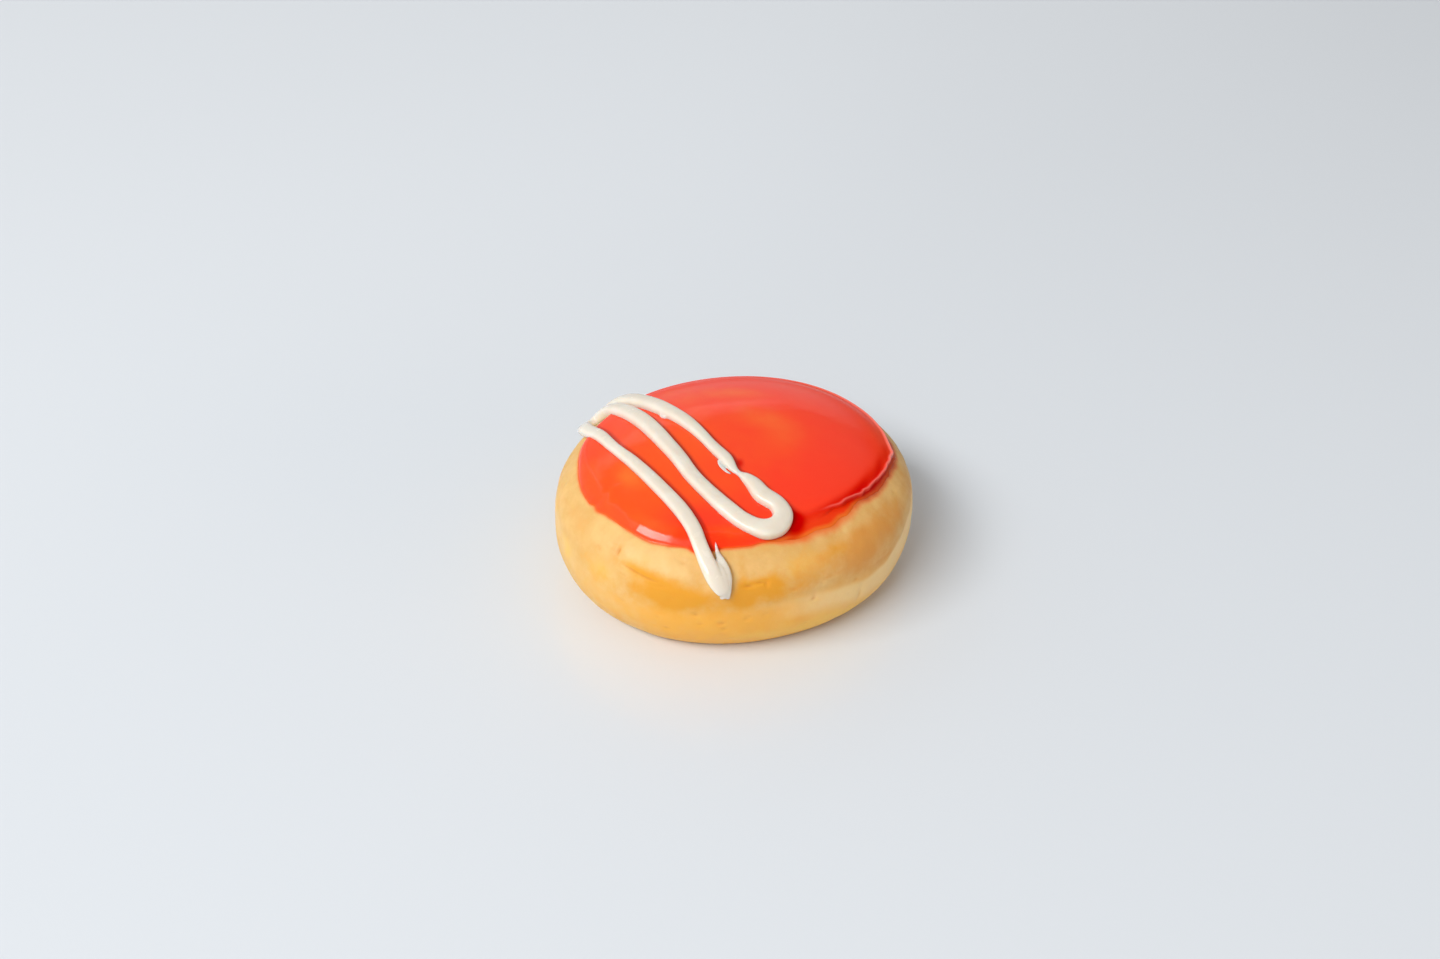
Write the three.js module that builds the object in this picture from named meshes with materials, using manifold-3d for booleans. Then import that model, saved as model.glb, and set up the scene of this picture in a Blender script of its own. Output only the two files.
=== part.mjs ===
/**
 * A round iced doughnut without a hole: a solid bun of fried yeast dough, a thin smooth glaze over
 * its top, and one line of thick icing piped across the glaze in a zigzag.
 *
 * Millimetres, +Z up. The origin is the centre of the flat underside, which lies on z = 0.
 *
 * Places on the bun are given on a map of its surface, unrolled from the top: the map's centre is
 * the top of the bun, a point's distance from the centre is its reach, the way along the surface
 * to it, and its direction is the direction seen from above. A lift is a height off that surface.
 */
import * as THREE from 'three';
import { mergeVertices } from 'three/addons/utils/BufferGeometryUtils.js';
import Module from 'manifold-3d';

const { clamp, degToRad, euclideanModulo, lerp, smoothstep } = THREE.MathUtils;

// ---------------------------------------------------------------- driving dimensions

// The bun. A fullness of 2 gives an elliptical quarter of its outline, and more a squarer one.
const MEAN_RADIUS = 42.5;
const BUN_HEIGHT = 32.7;
const WIDEST_HEIGHT = 15.8;
const UPPER_FULLNESS = 2.79;
const LOWER_FULLNESS = 2.69;
const FLATTENED_DEPTH = 6.9; // how far the round underside would reach below its flat foot
const LEAN = { x: -0.007, y: 0.018 }; // the bun is a little thicker towards the back

// The plan is slightly oval and a little uneven: each lobe has a count, a size and a direction.
const PLAN_LOBES = [
  { count: 2, size: 0.061, direction: 34.4 },
  { count: 3, size: -0.0024, direction: 30.7 },
  { count: 4, size: -0.0053, direction: 16.4 },
];

// The glaze: a cap that stays just clear of the bun and ends in a soft rounded rim.
const SKIN_GAP = 0.3;
const GLAZE_LIFT = 1.05; // its upper face
const RIM_LIFT = 1.35; // the glaze gathers a little at its rim
const RIM_WIDTH = 2.4;
const RIM_OVERHANG = 0.35;

// The reach of the glaze, by direction in degrees.
const GLAZE_REACH = [
  [0, 36.5], [14, 38.7], [45, 38.3], [80, 37.4], [115, 37.9], [150, 37.6], [176, 38.3], [200, 37.8],
  [225, 36.3], [240, 36.8], [254, 36.3], [270, 35.1], [283, 34.3], [298, 34.9], [314, 34.6], [333, 33.3],
  [345, 35.0], [360, 36.5],
];

// The icing line: map places that it passes, each with the line's width there.
const ICING_ROUTE = [
  [-36.0, 25.6, 4.6], [-32.6, 24.4, 5.0], [-29.4, 22.2, 4.8], [-25.4, 18.6, 4.6], [-20.4, 14.0, 4.5],
  [-13.8, 7.5, 3.8], [-7.1, -1.0, 3.0], [-3.0, -7.0, 3.2], [-2.0, -9.2, 2.9], [-0.7, -11.7, 1.9],
  [0.4, -13.0, 1.5], [2.0, -14.6, 2.7], [4.1, -17.3, 3.9], [6.4, -20.9, 4.6], [10.0, -23.6, 4.5],
  [11.5, -26.6, 4.8], [10.5, -29.5, 5.0], [7.9, -30.9, 4.9], [5.0, -30.6, 4.5], [1.5, -28.6, 4.1],
  [-2.3, -24.8, 4.0], [-6.1, -19.9, 3.8], [-9.8, -14.0, 3.7], [-13.0, -7.8, 3.8], [-17.6, -1.3, 4.1],
  [-23.3, 6.4, 4.6], [-27.4, 11.6, 4.5], [-31.2, 16.2, 4.2], [-34.9, 20.6, 4.0], [-37.8, 21.9, 3.8],
  [-40.0, 20.0, 3.6], [-40.3, 16.2, 3.6], [-38.6, 11.6, 3.5], [-36.2, 7.4, 3.3], [-33.5, 3.9, 3.2],
  [-28.6, -2.5, 3.0], [-22.8, -9.1, 3.3], [-18.4, -14.6, 3.6], [-14.8, -19.8, 3.7], [-11.6, -25.2, 3.8],
  [-9.1, -30.6, 3.5], [-7.5, -35.4, 3.4], [-5.9, -39.2, 3.8], [-4.3, -42.2, 4.1], [-2.9, -44.4, 3.5],
  [-2.0, -45.9, 2.1], [-2.3, -47.0, 0.8],
];
const ICING_TURNS = [0.32, 0.652]; // where along the line its two turns lie, as shares of its length
const TURN_OVERLAP = 2.4;

// The last of the icing trails back beside the line's end, as a strand that thins to a point.
const TRAIL_ROUTE = [
  [-1.0, -47.3, 1.0], [-1.2, -46.0, 1.8], [-1.3, -44.4, 2.3], [-1.4, -42.6, 2.5], [-1.9, -40.8, 2.4],
  [-2.8, -38.8, 2.0], [-3.6, -37.0, 1.3], [-4.1, -35.4, 0.9], [-4.4, -33.9, 0.6],
];

const ICING_BASE_LIFT = 0.5; // sunk into the glaze, and still clear of the bun
const ICING_BASE_SHARE = 0.8; // the sunk base's width, as a share of the line's
const ICING_RISE = 0.52; // how far the line's back stands above the glaze, as a share of its width
const ICING_SQUARENESS = 0.8; // below 1 the line's back is flatter than an ellipse
const BACK_POINTS = 5;
const STATION_SPACING = 2;

const SECTORS = 84;
const BUN_RING_SPACING = 3;
const GLAZE_RINGS = 12;

const DOUGH_FINISH = { color: 0xe9b668, roughness: 0.6 };
const GLAZE_FINISH = { color: 0xe8431f, roughness: 0.2 };

// ---------------------------------------------------------------- the bun's surface

/** The plan's radius in a direction (radians), as a share of the mean radius. */
function planShare(angle) {
  return PLAN_LOBES.reduce((share, { count, size, direction }) =>
    share + size * Math.cos(count * (angle - degToRad(direction))), 1);
}

/** Points down the bun's mean outline, from its top to the edge of its foot, each with its reach. */
function traceOutline(samples) {
  const outline = [];
  const add = (radius, height) => {
    const last = outline.at(-1) ?? { reach: 0, radius, height };
    const step = Math.hypot(radius - last.radius, height - last.height);
    outline.push({ reach: last.reach + step, radius, height });
  };
  const quarter = (fullness, slope) => ({
    across: MEAN_RADIUS * Math.max(Math.cos(slope), 0) ** (2 / fullness),
    along: Math.sin(slope) ** (2 / fullness),
  });
  for (let i = samples; i >= 0; i--) {
    const { across, along } = quarter(UPPER_FULLNESS, (Math.PI / 2) * (i / samples));
    add(across, WIDEST_HEIGHT + (BUN_HEIGHT - WIDEST_HEIGHT) * along);
  }
  const lowerDepth = WIDEST_HEIGHT + FLATTENED_DEPTH;
  const footSlope = Math.asin((WIDEST_HEIGHT / lowerDepth) ** (LOWER_FULLNESS / 2));
  for (let i = 1; i <= samples; i++) {
    const { across, along } = quarter(LOWER_FULLNESS, footSlope * (i / samples));
    add(across, i < samples ? WIDEST_HEIGHT - lowerDepth * along : 0);
  }
  return outline;
}

const OUTLINE = traceOutline(600);
const FOOT_REACH = OUTLINE.at(-1).reach;

/** The mean outline's radius and height at a reach. */
function outlineAt(reach) {
  const next = Math.max(OUTLINE.findIndex((point) => point.reach >= reach), 1);
  const [a, b] = [OUTLINE[next - 1], OUTLINE[next]];
  const share = clamp((reach - a.reach) / (b.reach - a.reach), 0, 1);
  return { radius: lerp(a.radius, b.radius, share), height: lerp(a.height, b.height, share) };
}

/** The point of the bun's surface at a place on the map. */
function surfacePoint(mapX, mapY) {
  const angle = Math.atan2(mapY, mapX);
  const { radius, height } = outlineAt(Math.min(Math.hypot(mapX, mapY), FOOT_REACH));
  const x = radius * planShare(angle) * Math.cos(angle);
  const y = radius * planShare(angle) * Math.sin(angle);
  return new THREE.Vector3(x, y, height * (1 + (LEAN.x * x + LEAN.y * y) / MEAN_RADIUS));
}

/** The point that stands off the bun's surface by a lift, above a place on the map. */
function liftedPoint(mapX, mapY, lift) {
  const step = 0.4;
  const alongX = surfacePoint(mapX + step, mapY).sub(surfacePoint(mapX - step, mapY));
  const alongY = surfacePoint(mapX, mapY + step).sub(surfacePoint(mapX, mapY - step));
  const normal = alongX.cross(alongY).normalize();
  return surfacePoint(mapX, mapY).addScaledVector(normal, lift);
}

/** A ring of points round the bun: each direction (radians) has its own reach, and all one lift. */
function ringAt(reachFor, lift = 0) {
  return Array.from({ length: SECTORS }, (_, i) => {
    const angle = (2 * Math.PI * i) / SECTORS;
    const reach = reachFor(angle);
    return liftedPoint(reach * Math.cos(angle), reach * Math.sin(angle), lift);
  });
}

// ---------------------------------------------------------------- closed meshes and joins

/** A closed skin over rings of equally many points, from one end point to the other. */
function skinRings(start, rings, end) {
  const count = rings[0].length;
  const points = [start, ...rings.flat(), end];
  const at = (ring, i) => 1 + ring * count + (i % count);
  const index = [];
  for (let i = 0; i < count; i++) {
    index.push(0, at(0, i), at(0, i + 1));
    for (let ring = 0; ring + 1 < rings.length; ring++) {
      index.push(at(ring, i), at(ring + 1, i), at(ring + 1, i + 1));
      index.push(at(ring, i), at(ring + 1, i + 1), at(ring, i + 1));
    }
    index.push(points.length - 1, at(rings.length - 1, i + 1), at(rings.length - 1, i));
  }
  let volume = 0;
  for (let i = 0; i < index.length; i += 3) {
    const [a, b, c] = index.slice(i, i + 3).map((k) => points[k]);
    volume += a.dot(b.clone().cross(c)) / 6;
  }
  const geometry = new THREE.BufferGeometry().setFromPoints(points);
  geometry.setIndex(volume < 0 ? index.reverse() : index); // so the faces point outwards
  return geometry;
}

const wasm = await Module();
wasm.setup();

/** A closed geometry as a solid that can be joined to others. */
function asSolid(geometry) {
  const merged = mergeVertices(geometry);
  return new wasm.Manifold(new wasm.Mesh({
    numProp: 3,
    vertProperties: new Float32Array(merged.attributes.position.array),
    triVerts: new Uint32Array(merged.index.array),
  }));
}

/** The union of closed geometries, as one geometry. */
function join(geometries) {
  const union = geometries.map(asSolid).reduce((whole, solid) => whole.add(solid));
  const { vertProperties, triVerts } = union.getMesh();
  const geometry = new THREE.BufferGeometry();
  geometry.setAttribute('position', new THREE.BufferAttribute(vertProperties, 3));
  geometry.setIndex(new THREE.BufferAttribute(triVerts, 1));
  return geometry;
}

// ---------------------------------------------------------------- the pieces

/** The bun: rings from its top down to the edge of its flat foot. */
function makeBun() {
  const ringCount = Math.round(FOOT_REACH / BUN_RING_SPACING);
  const rings = [];
  for (let i = 1; i <= ringCount; i++) rings.push(ringAt(() => (FOOT_REACH * i) / ringCount));
  rings.at(-1).forEach((point) => point.setZ(0));
  return skinRings(surfacePoint(0, 0), rings, new THREE.Vector3(0, 0, 0));
}

/** The glaze's reach in a direction (radians), eased between the directions that are given. */
function glazeReach(angle) {
  const degrees = euclideanModulo(THREE.MathUtils.radToDeg(angle), 360);
  const next = GLAZE_REACH.findIndex(([direction]) => direction > degrees);
  const [[from, reachFrom], [to, reachTo]] = [GLAZE_REACH[next - 1], GLAZE_REACH[next]];
  return lerp(reachFrom, reachTo, smoothstep(degrees, from, to));
}

/** The glaze: its underside from the top outwards, round its rim, and back over its upper face. */
function makeGlaze() {
  const underside = [];
  const upperFace = [];
  for (let i = 1; i <= GLAZE_RINGS; i++) {
    const spread = Math.sin((Math.PI / 2) * (i / GLAZE_RINGS)); // closer rings near the rim
    underside.push(ringAt((angle) => glazeReach(angle) * spread, SKIN_GAP));
    upperFace.unshift(ringAt((angle) => (glazeReach(angle) - RIM_WIDTH) * spread, GLAZE_LIFT));
  }
  const rim = [
    ringAt((angle) => glazeReach(angle) + RIM_OVERHANG, (SKIN_GAP + RIM_LIFT) / 2),
    ringAt((angle) => glazeReach(angle) - RIM_WIDTH / 3, RIM_LIFT),
  ];
  const rings = [...underside, ...rim, ...upperFace];
  return skinRings(liftedPoint(0, 0, SKIN_GAP), rings, liftedPoint(0, 0, GLAZE_LIFT));
}

/** A route's smooth curve: map places in x and y, and the line's width in z. */
function routeCurve(route) {
  const curve = new THREE.CatmullRomCurve3(route.map((place) => new THREE.Vector3(...place)));
  curve.arcLengthDivisions = 2000;
  return curve;
}

/** A strand's section as [across, lift]: its back as an arch, then its narrower sunk base. */
function strandSection(width) {
  const section = [];
  for (let i = 0; i < BACK_POINTS; i++) {
    const turn = (Math.PI * i) / (BACK_POINTS - 1);
    const side = Math.sign(Math.cos(turn)) * Math.abs(Math.cos(turn)) ** ICING_SQUARENESS;
    const rise = ICING_RISE * width * Math.sin(turn) ** ICING_SQUARENESS;
    section.push([(side * width) / 2, GLAZE_LIFT + rise]);
  }
  for (const side of [-1, 0, 1]) section.push([(side * ICING_BASE_SHARE * width) / 2, ICING_BASE_LIFT]);
  return section;
}

/** A strand of icing along a share of a route's curve, with both of its ends rounded off. */
function makeStrand(curve, from = 0, to = 1) {
  const stations = Math.round(((to - from) * curve.getLength()) / STATION_SPACING);
  const rings = [];
  for (let i = 1; i < stations; i++) {
    const share = lerp(from, to, i / stations);
    const { x, y, z: width } = curve.getPointAt(share);
    const along = curve.getTangentAt(share).setZ(0).normalize();
    const toEnd = Math.min(i, stations - i) * STATION_SPACING;
    const inset = Math.max(1 - toEnd / (width / 2), 0);
    rings.push(strandSection(width * Math.sqrt(1 - inset ** 2)).map(([across, lift]) =>
      liftedPoint(x - along.y * across, y + along.x * across, lift)));
  }
  const [start, end] = [from, to].map((share) => {
    const { x, y } = curve.getPointAt(share);
    return liftedPoint(x, y, (ICING_BASE_LIFT + GLAZE_LIFT) / 2);
  });
  return skinRings(start, rings, end);
}

/** The whole icing line as three strands that overlap at its turns, and its trailing end. */
function makeIcing() {
  const line = routeCurve(ICING_ROUTE);
  const overlap = TURN_OVERLAP / line.getLength();
  const [frontTurn, leftTurn] = ICING_TURNS;
  return [
    makeStrand(line, 0, frontTurn + overlap),
    makeStrand(line, frontTurn - overlap, leftTurn + overlap),
    makeStrand(line, leftTurn - overlap, 1),
    makeStrand(routeCurve(TRAIL_ROUTE)),
  ];
}

/** A named piece of the doughnut with its finish. */
function piece(name, geometry, finish) {
  geometry.computeVertexNormals();
  const mesh = new THREE.Mesh(geometry, new THREE.MeshStandardMaterial({ ...finish, metalness: 0 }));
  mesh.name = name;
  return mesh;
}

const doughnut = new THREE.Group();
doughnut.add(
  piece('dough', makeBun(), DOUGH_FINISH),
  piece('glaze', join([makeGlaze(), ...makeIcing()]), GLAZE_FINISH),
);

export default doughnut;
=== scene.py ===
"""The looks of a round iced doughnut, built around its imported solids.

Metres, +Z up, with the origin in the middle of the flat foot. Places on the bun are given on a map
of its surface, unrolled from the top: a place's distance from the map's centre is its reach, the way
along the surface to it, and its direction is the direction seen from above, in degrees from +X.
A lift is a height off the bun's smooth surface.
"""

import logging
import math
from dataclasses import dataclass
from enum import Enum
from typing import Optional, Union

import bpy
import numpy as np
from mathutils import Matrix, Vector

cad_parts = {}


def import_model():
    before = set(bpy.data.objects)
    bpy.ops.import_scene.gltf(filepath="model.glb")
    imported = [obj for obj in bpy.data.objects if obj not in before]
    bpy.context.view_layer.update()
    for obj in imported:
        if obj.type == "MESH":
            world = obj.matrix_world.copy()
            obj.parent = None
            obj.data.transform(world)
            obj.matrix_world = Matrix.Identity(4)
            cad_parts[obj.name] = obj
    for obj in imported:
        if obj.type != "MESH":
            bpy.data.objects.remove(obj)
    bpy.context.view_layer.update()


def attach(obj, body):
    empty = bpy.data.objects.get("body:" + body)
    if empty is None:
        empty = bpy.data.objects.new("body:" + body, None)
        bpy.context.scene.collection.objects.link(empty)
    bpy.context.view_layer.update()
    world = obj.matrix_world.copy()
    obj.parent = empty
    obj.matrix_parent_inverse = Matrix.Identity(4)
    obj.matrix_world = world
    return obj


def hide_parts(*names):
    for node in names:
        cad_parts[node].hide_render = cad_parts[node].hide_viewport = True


LOG = logging.getLogger("iced_doughnut")
MM = 0.001

Colour = tuple[float, float, float, float]
Operand = Union["Signal", float]
Shade = Union["Signal", Colour]
Span = tuple[float, float]
Triple = tuple[float, float, float]


def paint(red: int, green: int, blue: int) -> Colour:
    """A screen colour, 0 to 255 in each channel, as the linear colour that shaders take."""
    def linear(level: int) -> float:
        """One channel's linear value."""
        share = level / 255
        return share / 12.92 if share <= 0.04045 else ((share + 0.055) / 1.055) ** 2.4

    return linear(red), linear(green), linear(blue), 1.0


def ease(values: np.ndarray, low: float, high: float) -> np.ndarray:
    """0 below low, 1 above high, and a smooth rise between them."""
    share = np.clip((values - low) / (high - low), 0, 1)
    return share * share * (3 - 2 * share)


def wander(angle: np.ndarray, spacing: float, seed: int) -> np.ndarray:
    """An uneven line round the bun, from -1 to 1, with a new chance value every spacing degrees."""
    count = round(360 / spacing)
    stops = np.random.default_rng(seed).uniform(-1, 1, count)
    place = (angle / (2 * math.pi) % 1) * count
    before = np.floor(place).astype(int)
    share = ease(place - before, 0, 1)
    return stops[before % count] * (1 - share) + stops[(before + 1) % count] * share


def turn_between(angle: np.ndarray, direction: float) -> np.ndarray:
    """The turn from a direction in degrees to each angle in radians, from -pi to pi."""
    return (angle - math.radians(direction) + math.pi) % (2 * math.pi) - math.pi


@dataclass(frozen=True)
class Around:
    """A quantity that changes with direction, eased between the directions where it is known.

    Attributes:
        knots: Pairs of a direction, rising within one turn, and the quantity there.
        unit: What the quantities are multiplied by.
    """

    knots: tuple[tuple[float, float], ...]
    unit: float = MM

    def at(self, angle: np.ndarray) -> np.ndarray:
        """The quantity at each angle in radians."""
        directions = np.array([knot[0] for knot in self.knots])
        values = np.array([knot[1] for knot in self.knots]) * self.unit
        directions = np.append(directions, directions[0] + 360)
        values = np.append(values, values[0])
        degrees = (np.degrees(angle) - directions[0]) % 360 + directions[0]
        after = np.clip(np.searchsorted(directions, degrees, side="right"), 1, len(values) - 1)
        share = ease(degrees, directions[after - 1], directions[after])
        return values[after - 1] + (values[after] - values[after - 1]) * share


# ---------------------------------------------------------------- the bun's form and its map


@dataclass(frozen=True)
class Lobe:
    """A wave of the plan: its crests in one round, its height as a share, and a crest's direction."""

    count: int
    size: float
    direction: float


@dataclass
class BunForm:
    """The bun's smooth surface: two rounded quarters turned round an uneven plan, over a flat foot."""

    mean_radius: float = 42.5 * MM
    height: float = 32.7 * MM
    widest_height: float = 15.8 * MM
    upper_fullness: float = 2.79
    lower_fullness: float = 2.69
    flattened_depth: float = 6.9 * MM
    lean: Span = (-0.007, 0.018)
    lobes: tuple[Lobe, ...] = (Lobe(2, 0.061, 34.4), Lobe(3, -0.0024, 30.7), Lobe(4, -0.0053, 16.4))
    samples: int = 600
    normal_step: float = 0.4 * MM

    def __post_init__(self) -> None:
        """Traces the mean outline from the top to the edge of the foot."""
        upper = np.linspace(math.pi / 2, 0, self.samples + 1)
        lower_depth = self.widest_height + self.flattened_depth
        foot = math.asin((self.widest_height / lower_depth) ** (self.lower_fullness / 2))
        lower = np.linspace(0, foot, self.samples + 1)[1:]
        above = (self.height - self.widest_height) * np.sin(upper) ** (2 / self.upper_fullness)
        below = lower_depth * np.sin(lower) ** (2 / self.lower_fullness)
        self._radius = self.mean_radius * np.concatenate([
            np.maximum(np.cos(upper), 0) ** (2 / self.upper_fullness),
            np.cos(lower) ** (2 / self.lower_fullness),
        ])
        heights = np.concatenate([self.widest_height + above, self.widest_height - below])
        self._height = np.maximum(heights, 0)
        steps = np.hypot(np.diff(self._radius), np.diff(self._height))
        self._reach = np.concatenate([[0], np.cumsum(steps)])
        self.foot_reach = float(self._reach[-1])

    def plan_share(self, angle: np.ndarray) -> np.ndarray:
        """The plan's radius at each angle, as a share of the mean radius."""
        share = np.ones_like(angle)
        for lobe in self.lobes:
            share += lobe.size * np.cos(lobe.count * (angle - math.radians(lobe.direction)))
        return share

    def surface(self, map_x: np.ndarray, map_y: np.ndarray) -> np.ndarray:
        """The surface's points at places on the map."""
        angle = np.arctan2(map_y, map_x)
        reach = np.hypot(map_x, map_y)
        radius = np.interp(reach, self._reach, self._radius) * self.plan_share(angle)
        x, y = radius * np.cos(angle), radius * np.sin(angle)
        tilt = 1 + (self.lean[0] * x + self.lean[1] * y) / self.mean_radius
        return np.stack([x, y, np.interp(reach, self._reach, self._height) * tilt], axis=-1)

    def normal(self, map_x: np.ndarray, map_y: np.ndarray) -> np.ndarray:
        """The directions that point straight off the surface at places on the map."""
        step = self.normal_step
        along_x = self.surface(map_x + step, map_y) - self.surface(map_x - step, map_y)
        along_y = self.surface(map_x, map_y + step) - self.surface(map_x, map_y - step)
        normal = np.cross(along_x, along_y)
        return normal / np.linalg.norm(normal, axis=-1, keepdims=True)

    def lifted(self, map_x: np.ndarray, map_y: np.ndarray, lift: np.ndarray) -> np.ndarray:
        """The points that stand off the surface by a lift, above places on the map."""
        return self.surface(map_x, map_y) + self.normal(map_x, map_y) * np.asarray(lift)[..., None]


@dataclass(frozen=True)
class Patch:
    """A soft-edged spot on the bun's map, for a colour or a dent.

    Attributes:
        direction: Where its middle lies, in degrees.
        reach: Where its middle lies, in millimetres.
        half_length: Its half length round the bun, in millimetres.
        half_width: Its half width down the bun, in millimetres.
        amount: Its strength in the middle.
        slant: The turn of its length from level, in degrees; above 0 its far end lies lower.
    """

    direction: float
    reach: float
    half_length: float
    half_width: float
    amount: float
    slant: float = 0.0

    def strength(self, angle: np.ndarray, reach: np.ndarray, radius: float) -> np.ndarray:
        """How strong the patch is at places on the map.

        Args:
            angle: The places' directions in radians.
            reach: Their reaches in metres.
            radius: The bun's radius, which turns a change of direction into a length.
        Returns:
            The strength at each place.
        """
        along = turn_between(angle, self.direction) * np.minimum(reach, radius)
        down = reach - self.reach * MM
        cos, sin = math.cos(math.radians(self.slant)), math.sin(math.radians(self.slant))
        length = (along * cos + down * sin) / (self.half_length * MM)
        width = (down * cos - along * sin) / (self.half_width * MM)
        return self.amount * np.exp(-(length**2) - width**2)


def patched(patches: tuple[Patch, ...], angle: np.ndarray, reach: np.ndarray,
            radius: float) -> np.ndarray:
    """The summed strength of patches at places on the map, as Patch.strength takes them."""
    total = np.zeros_like(reach)
    for patch in patches:
        total += patch.strength(angle, reach, radius)
    return total


# ---------------------------------------------------------------- node trees


@dataclass(frozen=True)
class Clouding:
    """A cloudy pattern.

    Attributes:
        blot: About how big its blots are, in metres.
        detail: How many finer layers it has.
        seed: Which of its kind it is.
        roughness: How strong the finer layers are.
    """

    blot: Operand
    detail: float
    seed: Operand
    roughness: float = 0.5


class Signal:
    """A node's output that Python expressions can use: each operator adds its Math node."""

    def __init__(self, writer: "NodeWriter", socket: bpy.types.NodeSocket) -> None:
        """Keeps the tree's writer and the socket that gives the value."""
        self.writer = writer
        self.socket = socket

    def __add__(self, other: Operand) -> "Signal":
        """self + other."""
        return self.writer.math("ADD", self, other)

    def __sub__(self, other: Operand) -> "Signal":
        """self - other."""
        return self.writer.math("SUBTRACT", self, other)

    def __rsub__(self, other: Operand) -> "Signal":
        """other - self."""
        return self.writer.math("SUBTRACT", other, self)

    def __mul__(self, other: Operand) -> "Signal":
        """self * other."""
        return self.writer.math("MULTIPLY", self, other)

    def __rtruediv__(self, other: Operand) -> "Signal":
        """other / self."""
        return self.writer.math("DIVIDE", other, self)


class NodeWriter:
    """Adds nodes to one shader or geometry tree."""

    def __init__(self, tree: bpy.types.NodeTree) -> None:
        """Keeps the tree that the nodes go into."""
        self.tree = tree

    def add(self, kind: str, settings: Optional[dict] = None, inputs: Optional[dict] = None,
            output: Union[int, str] = 0) -> Signal:
        """Adds one node.

        Args:
            kind: The node's type.
            settings: Its own properties, which are set first.
            inputs: Values or signals, by the name or number of the socket that takes them.
            output: The name or number of the output to return.
        Returns:
            The signal of that output.
        """
        node = self.tree.nodes.new(kind)
        for name, value in (settings or {}).items():
            setattr(node, name, value)
        for key, value in (inputs or {}).items():
            if isinstance(value, Signal):
                self.tree.links.new(value.socket, node.inputs[key])
            else:
                node.inputs[key].default_value = value
        return Signal(self, node.outputs[output]) if len(node.outputs) else None

    def math(self, operation: str, first: Operand, second: Operand) -> Signal:
        """A Math node on two values."""
        return self.add("ShaderNodeMath", {"operation": operation}, {0: first, 1: second})

    def fade(self, value: Signal, low: float, high: float, start: float = 0.0,
             end: float = 1.0) -> Signal:
        """A smooth change from start, where value is low, to end, where it is high."""
        span = {"Value": value, "From Min": low, "From Max": high, "To Min": start, "To Max": end}
        return self.add("ShaderNodeMapRange", {"interpolation_type": "SMOOTHSTEP"}, span)

    def blend(self, factor: Operand, first: Shade, second: Shade) -> Signal:
        """A colour between two colours: the first at factor 0, the second at factor 1."""
        settings = {"data_type": "RGBA", "clamp_factor": True}
        return self.add("ShaderNodeMix", settings, {0: factor, 6: first, 7: second}, output=2)

    def noise(self, place: Signal, pattern: Clouding) -> Signal:
        """A cloudy pattern at each place, from 0 to 1."""
        return self.add("ShaderNodeTexNoise", {"noise_dimensions": "4D"}, {
            "Vector": place, "W": pattern.seed, "Scale": 1 / pattern.blot,
            "Detail": pattern.detail, "Roughness": pattern.roughness})

    def bump(self, height: Signal, strength: float, depth: float) -> Signal:
        """A surface direction that follows a height from 0 to 1, whose full height is depth."""
        return self.add("ShaderNodeBump", inputs={
            "Strength": strength, "Distance": depth, "Height": height})


# ---------------------------------------------------------------- finishes


@dataclass(frozen=True)
class Tint:
    """A colour that is laid over a piece where the piece carries it.

    Attributes:
        amount: The name of the number that the piece carries for it.
        colour: The colour.
        patchiness: How much the finish's unevenness breaks it up.
        limits: The amounts at which it starts to show and at which it covers.
    """

    amount: str
    colour: Colour
    patchiness: float
    limits: Span = (0.0, 1.0)


class Finish:
    """A material that is built from nodes, on Object coordinates and the piece's own attributes."""

    name = "finish"

    def material(self) -> bpy.types.Material:
        """Builds the material."""
        material = bpy.data.materials.new(self.name)
        material.use_nodes = True
        material.node_tree.nodes.clear()
        writer = NodeWriter(material.node_tree)
        shader = self.shader(writer, writer.add("ShaderNodeTexCoord", output="Object"))
        writer.add("ShaderNodeOutputMaterial", inputs={"Surface": shader})
        return material

    def shader(self, writer: NodeWriter, place: Signal) -> Signal:
        """Adds the nodes of the look and returns the shader; each finish has its own."""
        raise NotImplementedError

    @staticmethod
    def attribute(writer: NodeWriter, name: str) -> Signal:
        """A number that the piece carries at each of its points."""
        return writer.add("ShaderNodeAttribute", {"attribute_name": name}, output="Fac")

    def tinted(self, writer: NodeWriter, below: Shade, tint: Tint, uneven: Signal) -> Signal:
        """Lays a tint over a colour.

        Args:
            writer: The material's writer.
            below: The colour below.
            tint: What is laid over it.
            uneven: The unevenness round 0 that breaks the tint up.
        Returns:
            The colour with its tint.
        """
        strength = self.attribute(writer, tint.amount) + uneven * tint.patchiness
        return writer.blend(writer.fade(strength, *tint.limits), below, tint.colour)


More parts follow.
